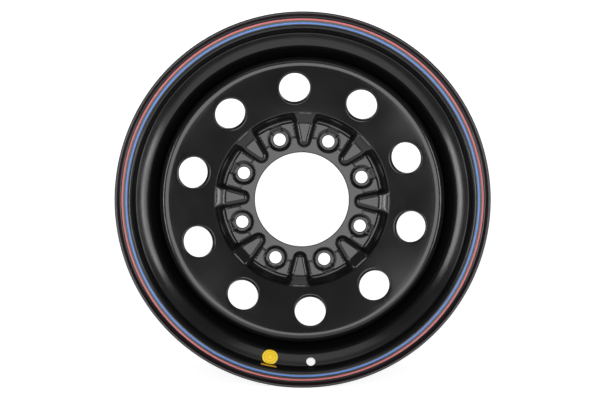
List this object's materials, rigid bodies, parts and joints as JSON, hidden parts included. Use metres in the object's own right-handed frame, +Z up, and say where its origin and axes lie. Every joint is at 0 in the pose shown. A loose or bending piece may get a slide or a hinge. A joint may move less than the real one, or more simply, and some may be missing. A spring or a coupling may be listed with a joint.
{
  "type": "steel wheel",
  "caption": "Black painted steel truck wheel: dished disc with round vents, ribbed hub and stud holes welded into a drop-centre rim, with pinstripes and stickers.",
  "frame": {"origin": "on the axle, at half the rim's width", "axes": "+Y along the axle towards the vehicle, -Y the outer side that faces the road side, +Z up"},
  "size_m": [0.4713, 0.2116, 0.4714],
  "materials": {
    "rim_paint": "gloss",
    "disc_paint": "gloss",
    "weld_paint": "gloss",
    "yellow_film": "satin",
    "orange_film": "satin"
  },
  "bodies": {
    "root": {"rim": "rim_paint", "disc": "disc_paint", "weld_beads": "weld_paint", "round_sticker": "yellow_film", "strip_sticker": "orange_film"}
  },
  "joints": []
}
